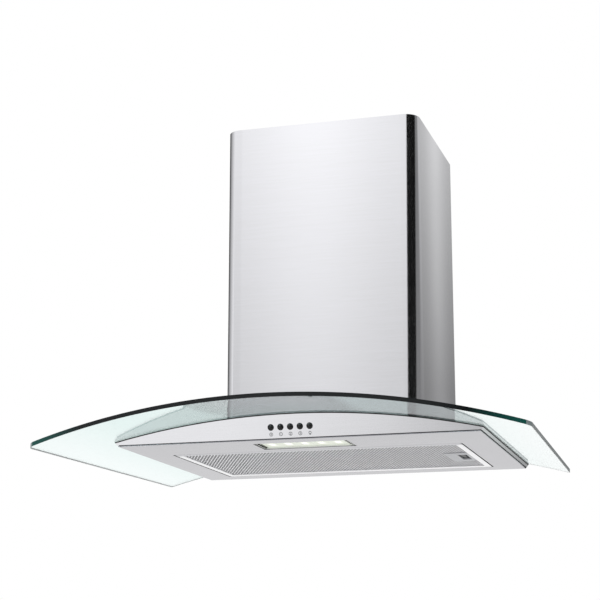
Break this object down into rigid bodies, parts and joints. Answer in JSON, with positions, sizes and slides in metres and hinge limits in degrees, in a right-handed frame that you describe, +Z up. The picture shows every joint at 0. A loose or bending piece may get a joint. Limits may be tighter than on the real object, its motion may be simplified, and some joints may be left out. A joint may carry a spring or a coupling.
{
  "type": "range hood",
  "caption": "Wall-mounted chimney range hood with a curved glass canopy, push buttons, an LED lamp and a hinged grease filter.",
  "frame": {"origin": "on the wall plane, on the centre line, level with the underside of the steel body", "axes": "+X to the right as the cook sees it, +Y into the wall, +Z up"},
  "size_m": [0.5994, 0.4665, 0.4551],
  "materials": {
    "body_steel": "fine brushed stainless steel",
    "cover_steel": "brushed stainless steel, grain from side to side",
    "zinc_steel": "zinc plated sheet steel",
    "fastener_steel": "zinc plated steel",
    "filter_aluminium": "bright rolled aluminium",
    "canopy_glass": "clear toughened float glass with polished edges",
    "seal_rubber": "black rubber",
    "grommet_rubber": "black rubber",
    "fan_plastic": "dark grey moulded plastic",
    "collar_plastic": "black moulded plastic",
    "box_plastic": "light grey moulded plastic",
    "switch_plastic": "black moulded plastic",
    "button_plastic": "glossy black",
    "latch_plastic": "silver grey moulded plastic",
    "lamp_plastic": "light grey moulded plastic",
    "lens_plastic": "frosted clear plastic",
    "board": "white lacquered circuit board",
    "led": "light emitting diode, pale yellow",
    "motor_paint": "dark grey paint",
    "capacitor_plastic": "white plastic"
  },
  "bodies": {
    "hood": {"body_shell": "body_steel", "seam_seal": "seal_rubber", "glass_seal": "seal_rubber", "glass_canopy": "canopy_glass", "duct_seal_lower": "seal_rubber", "duct_seal_upper": "seal_rubber", "glass_bushes": "seal_rubber", "glass_screws": "fastener_steel", "glass_nuts": "fastener_steel", "lower_chimney": "cover_steel", "blower_box": "zinc_steel", "box_lid": "zinc_steel", "scroll_left": "fan_plastic", "scroll_right": "fan_plastic", "motor_case": "motor_paint", "motor_bracket": "zinc_steel", "motor_grommets": "grommet_rubber", "motor_screws": "fastener_steel", "outlet_collar": "collar_plastic", "collar_screws": "fastener_steel", "flap_pin": "fastener_steel", "capacitor": "capacitor_plastic", "capacitor_clip": "zinc_steel", "terminal_box": "box_plastic", "terminal_lid": "box_plastic", "terminal_block": "box_plastic", "cable_gland": "collar_plastic", "led_driver": "box_plastic", "button_guide": "switch_plastic", "switch_block": "switch_plastic", "switch_screws": "fastener_steel", "lamp_housing": "lamp_plastic", "led_board": "board", "led_chips": "led", "lamp_lens": "lens_plastic", "underside_panel": "body_steel", "wall_hooks": "zinc_steel"},
    "upper_cover": {"upper_chimney": "cover_steel", "chimney_bracket": "zinc_steel", "bracket_nuts": "fastener_steel"},
    "fan_rotor": {"impeller": "fan_plastic", "motor_shaft": "fastener_steel"},
    "front_flap": {"flap_front": "collar_plastic"},
    "rear_flap": {"flap_rear": "collar_plastic"},
    "filter": {"filter_frame": "filter_aluminium", "filter_mesh": "filter_aluminium", "filter_core": "filter_aluminium", "filter_pins": "fastener_steel", "latch_case": "latch_plastic", "latch_spring": "fastener_steel"},
    "latch": {"filter_latch": "switch_plastic"},
    "button_off_body": {"button_off": "button_plastic"},
    "button_speed_1_body": {"button_speed_1": "button_plastic"},
    "button_speed_2_body": {"button_speed_2": "button_plastic"},
    "button_speed_3_body": {"button_speed_3": "button_plastic"},
    "button_lamp_body": {"button_lamp": "button_plastic"}
  },
  "joints": [
    {"name": "upper_cover_slide", "type": "slide", "parent": "hood", "child": "upper_cover", "axis": [0, 0, 1], "range_m": [0, 0.33]},
    {"name": "fan_spin", "type": "hinge", "parent": "hood", "child": "fan_rotor", "pos_m": [0, -0.115, 0.136], "axis": [1, 0, 0], "continuous": true},
    {"name": "front_flap_hinge", "type": "hinge", "parent": "hood", "child": "front_flap", "pos_m": [0, -0.12, 0.277], "axis": [-1, 0, 0], "range_deg": [0, 76]},
    {"name": "rear_flap_hinge", "type": "hinge", "parent": "hood", "child": "rear_flap", "pos_m": [0, -0.12, 0.277], "axis": [1, 0, 0], "range_deg": [0, 76]},
    {"name": "filter_hinge", "type": "hinge", "parent": "hood", "child": "filter", "pos_m": [-0.1795, -0.145, 0.0035], "axis": [0, 1, 0], "range_deg": [0, 60]},
    {"name": "latch_slide", "type": "slide", "parent": "filter", "child": "latch", "axis": [-1, 0, 0], "range_m": [0, 0.003], "stiffness_N_per_m": 300, "springref_m": -0.003, "deforming": ["latch_spring"]},
    {"name": "button_off_press", "type": "slide", "parent": "hood", "child": "button_off_body", "axis": [0, 0.9655, 0.2605], "range_m": [0, 0.003], "stiffness_N_per_m": 600, "springref_m": -0.001},
    {"name": "button_speed_1_press", "type": "slide", "parent": "hood", "child": "button_speed_1_body", "axis": [0, 0.9655, 0.2605], "range_m": [0, 0.003], "stiffness_N_per_m": 600, "springref_m": -0.001},
    {"name": "button_speed_2_press", "type": "slide", "parent": "hood", "child": "button_speed_2_body", "axis": [0, 0.9655, 0.2605], "range_m": [0, 0.003], "stiffness_N_per_m": 600, "springref_m": -0.001},
    {"name": "button_speed_3_press", "type": "slide", "parent": "hood", "child": "button_speed_3_body", "axis": [0, 0.9655, 0.2605], "range_m": [0, 0.003], "stiffness_N_per_m": 600, "springref_m": -0.001},
    {"name": "button_lamp_press", "type": "slide", "parent": "hood", "child": "button_lamp_body", "axis": [0, 0.9655, 0.2605], "range_m": [0, 0.003], "stiffness_N_per_m": 600, "springref_m": -0.001}
  ]
}
